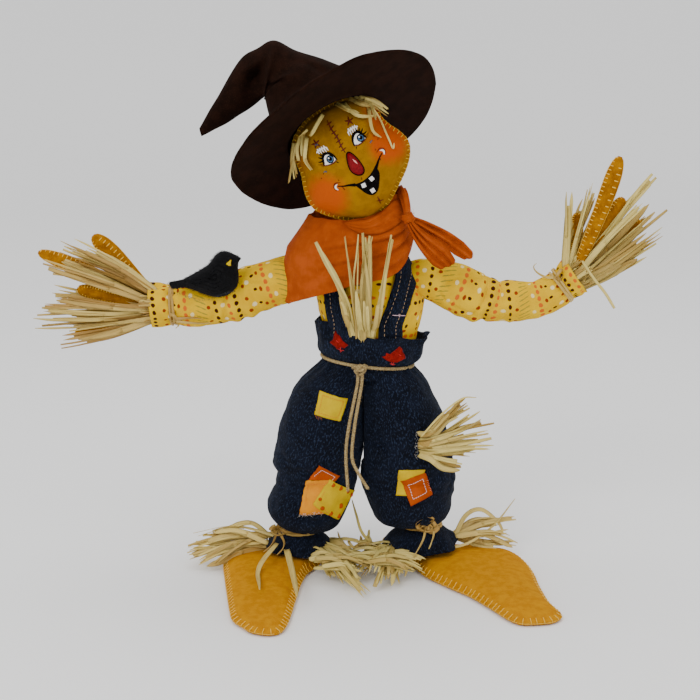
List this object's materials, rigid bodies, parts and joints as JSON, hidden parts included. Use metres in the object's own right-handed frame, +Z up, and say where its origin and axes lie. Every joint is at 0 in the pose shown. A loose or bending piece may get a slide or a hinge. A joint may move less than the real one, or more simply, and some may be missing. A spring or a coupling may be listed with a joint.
{
  "type": "scarecrow figure",
  "caption": "Posable felt scarecrow doll in straw-stuffed shirt and patched denim overalls, with bent brimmed hat, bandana, crow on one arm and large flat felt feet.",
  "frame": {"origin": "on the floor, under the middle of the figure's bounding box, measured without the two free twine ends", "axes": "+Z up; the figure faces -Y; its right hand, with the crow, points to -X and its left hand to +X"},
  "size_m": [0.5507, 0.2283, 0.4562],
  "materials": {
    "steel_wire": "dull galvanised",
    "straw": "dry raffia ribbon, slightly glossy",
    "twine": "twisted jute, matt",
    "brown_felt": "thick matt felt",
    "red_felt": "felt, matt",
    "black_plush": "short black pile",
    "orange_cotton": "plain woven cotton, matt",
    "patch_cotton": "cotton scraps, matt",
    "denim": "dark indigo twill, matt",
    "printed_cotton": "yellow cotton with printed rows of dots",
    "stuffing": "sewn cloth core",
    "gold_felt": "mustard felt, matt"
  },
  "bodies": {
    "torso": {"torso_body": "stuffing", "spine_wire": "steel_wire", "shirt_body": "printed_cotton", "overalls_waist": "denim", "strap_right": "denim", "strap_left": "denim", "waist_tie": "twine", "waist_tie_knot": "twine", "waist_tie_end_long": "twine", "waist_tie_end_short": "twine", "bandana": "orange_cotton", "bandana_knot": "orange_cotton", "bandana_tail_upper": "orange_cotton", "bandana_tail_lower": "orange_cotton", "chest_straw": "straw", "red_patch_right": "red_felt", "red_patch_left": "red_felt"},
    "neck": {"neck_wire": "steel_wire"},
    "head": {"head": "gold_felt", "head_wire": "steel_wire", "nose": "red_felt", "hat_brim": "brown_felt", "hat_crown": "brown_felt", "hair_straw_right": "straw", "hair_straw_left": "straw"},
    "right_upper_arm": {"right_upper_sleeve": "printed_cotton", "right_upper_arm_wire": "steel_wire"},
    "right_forearm": {"right_forearm_sleeve": "printed_cotton", "right_forearm_wire": "steel_wire", "right_wrist_tie": "twine", "right_hand": "gold_felt", "right_hand_straw": "straw", "crow": "black_plush"},
    "right_thigh": {"right_trouser_thigh": "denim", "right_thigh_wire": "steel_wire", "right_thigh_patch": "patch_cotton"},
    "right_shin": {"right_trouser_shin": "denim", "right_shin_wire": "steel_wire", "right_ankle_tie": "twine", "right_knee_patches": "patch_cotton"},
    "right_foot": {"right_foot": "gold_felt", "right_ankle_straw": "straw", "right_foot_straw": "straw"},
    "left_upper_arm": {"left_upper_sleeve": "printed_cotton", "left_upper_arm_wire": "steel_wire"},
    "left_forearm": {"left_forearm_sleeve": "printed_cotton", "left_forearm_wire": "steel_wire", "left_wrist_tie": "twine", "left_hand": "gold_felt", "left_hand_straw": "straw"},
    "left_thigh": {"left_trouser_thigh": "denim", "left_thigh_wire": "steel_wire", "left_thigh_straw": "straw"},
    "left_shin": {"left_trouser_shin": "denim", "left_shin_wire": "steel_wire", "left_ankle_tie": "twine", "left_knee_patches": "patch_cotton"},
    "left_foot": {"left_foot": "gold_felt", "left_ankle_straw": "straw", "left_foot_straw": "straw"}
  },
  "joints": [
    {"name": "neck_turn", "type": "hinge", "parent": "torso", "child": "neck", "pos_m": [0.0112, 0.0356, 0.3], "axis": [0, 0, 1], "range_deg": [-35, 35]},
    {"name": "head_tilt", "type": "hinge", "parent": "neck", "child": "head", "pos_m": [0.0112, 0.0356, 0.315], "axis": [0, 1, 0], "range_deg": [-10, 22]},
    {"name": "right_shoulder", "type": "hinge", "parent": "torso", "child": "right_upper_arm", "pos_m": [-0.0388, 0.0516, 0.258], "axis": [0, 1, 0], "range_deg": [-40, 20]},
    {"name": "right_elbow", "type": "hinge", "parent": "right_upper_arm", "child": "right_forearm", "pos_m": [-0.0868, 0.0516, 0.244], "axis": [0, 1, 0], "range_deg": [-15, 30]},
    {"name": "right_hip", "type": "hinge", "parent": "torso", "child": "right_thigh", "pos_m": [-0.0128, 0.0516, 0.15], "axis": [-1, 0, 0], "range_deg": [-20, 25]},
    {"name": "right_knee", "type": "hinge", "parent": "right_thigh", "child": "right_shin", "pos_m": [-0.0228, 0.0516, 0.0945], "axis": [1, 0, 0], "range_deg": [0, 32]},
    {"name": "right_foot_turn", "type": "hinge", "parent": "right_shin", "child": "right_foot", "pos_m": [-0.0378, 0.0516, 0.018], "axis": [0, 0, 1], "range_deg": [-25, 10]},
    {"name": "left_shoulder", "type": "hinge", "parent": "torso", "child": "left_upper_arm", "pos_m": [0.0792, 0.0516, 0.258], "axis": [0, 1, 0], "range_deg": [-20, 24]},
    {"name": "left_elbow", "type": "hinge", "parent": "left_upper_arm", "child": "left_forearm", "pos_m": [0.1252, 0.0516, 0.2392], "axis": [0, 1, 0], "range_deg": [-15, 20]},
    {"name": "left_hip", "type": "hinge", "parent": "torso", "child": "left_thigh", "pos_m": [0.0412, 0.0516, 0.15], "axis": [-1, 0, 0], "range_deg": [-20, 25]},
    {"name": "left_knee", "type": "hinge", "parent": "left_thigh", "child": "left_shin", "pos_m": [0.0552, 0.0516, 0.0945], "axis": [1, 0, 0], "range_deg": [0, 32]},
    {"name": "left_foot_turn", "type": "hinge", "parent": "left_shin", "child": "left_foot", "pos_m": [0.0722, 0.0516, 0.018], "axis": [0, 0, 1], "range_deg": [-10, 25]}
  ]
}
